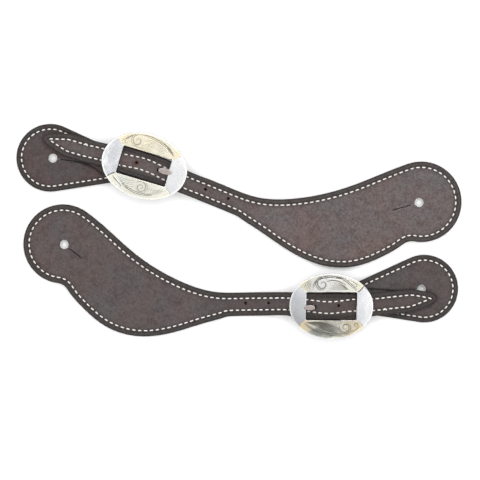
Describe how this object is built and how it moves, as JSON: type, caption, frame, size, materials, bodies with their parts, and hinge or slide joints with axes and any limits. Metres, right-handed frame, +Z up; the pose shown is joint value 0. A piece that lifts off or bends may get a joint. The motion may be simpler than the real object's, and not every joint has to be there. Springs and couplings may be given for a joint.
{
  "type": "pair of spur straps",
  "caption": "Western spur straps, right and left, each a shaped leather strap and a short button tab joined by an engraved oval buckle with a tongue.",
  "frame": {"origin": "the middle of the pair's footprint, on the surface it lies on", "axes": "+X along the pair's length, towards the right strap's wide end; +Y from the left strap to the right strap; +Z up, from the lining to the face"},
  "size_m": [0.3026, 0.1456, 0.0138],
  "materials": {
    "roughout_leather": "matte roughout, smooth dark burnished border",
    "lining_leather": "matte",
    "white_thread": "waxed thread",
    "buckle_base_metal": "satin",
    "engraved_plate": "bright engraved nickel silver",
    "plain_plate": "bright polished",
    "tongue_metal": "satin"
  },
  "bodies": {
    "right_long_strap": {"right_long_strap_face": "roughout_leather", "right_long_strap_lining": "lining_leather", "right_long_strap_thread": "white_thread"},
    "right_buckle": {"right_buckle_frame": "buckle_base_metal", "right_upper_scroll_plate": "engraved_plate", "right_lower_scroll_plate": "engraved_plate", "right_heel_end_plate": "plain_plate", "right_toe_end_plate": "plain_plate", "right_heel_bar": "buckle_base_metal"},
    "right_tongue": {"right_tongue": "tongue_metal"},
    "right_tab": {"right_tab_face": "roughout_leather", "right_tab_lining": "lining_leather", "right_tab_thread": "white_thread", "right_chape_thread": "white_thread"},
    "left_long_strap": {"left_long_strap_face": "roughout_leather", "left_long_strap_lining": "lining_leather", "left_long_strap_thread": "white_thread"},
    "left_buckle": {"left_buckle_frame": "buckle_base_metal", "left_upper_scroll_plate": "engraved_plate", "left_lower_scroll_plate": "engraved_plate", "left_heel_end_plate": "plain_plate", "left_toe_end_plate": "plain_plate", "left_heel_bar": "buckle_base_metal"},
    "left_tongue": {"left_tongue": "tongue_metal"},
    "left_tab": {"left_tab_face": "roughout_leather", "left_tab_lining": "lining_leather", "left_tab_thread": "white_thread", "left_chape_thread": "white_thread"}
  },
  "joints": [
    {"name": "left_strap_lift", "type": "slide", "parent": "right_long_strap", "child": "left_long_strap", "axis": [0, 0, 1], "range_m": [0, 0.12]},
    {"name": "right_buckle_swivel", "type": "hinge", "parent": "right_long_strap", "child": "right_buckle", "pos_m": [-0.05358, 0.04117, 0.01], "axis": [0, 0, 1], "range_deg": [-2, 2]},
    {"name": "right_tongue_lift", "type": "hinge", "parent": "right_buckle", "child": "right_tongue", "pos_m": [-0.07555, 0.04726, 0.00335], "axis": [-0.284, -0.9588, 0], "range_deg": [0, 3]},
    {"name": "right_tab_fold", "type": "hinge", "parent": "right_buckle", "child": "right_tab", "pos_m": [-0.07555, 0.04726, 0.00335], "axis": [-0.284, -0.9588, 0], "range_deg": [0, 80]},
    {"name": "left_buckle_swivel", "type": "hinge", "parent": "left_long_strap", "child": "left_buckle", "pos_m": [0.05044, -0.05153, 0.01], "axis": [0, 0, 1], "range_deg": [-2, 2]},
    {"name": "left_tongue_lift", "type": "hinge", "parent": "left_buckle", "child": "left_tongue", "pos_m": [0.07445, -0.05091, 0.00335], "axis": [0.014, 0.9999, 0], "range_deg": [0, 3]},
    {"name": "left_tab_fold", "type": "hinge", "parent": "left_buckle", "child": "left_tab", "pos_m": [0.07445, -0.05091, 0.00335], "axis": [0.014, 0.9999, 0], "range_deg": [0, 80]}
  ]
}
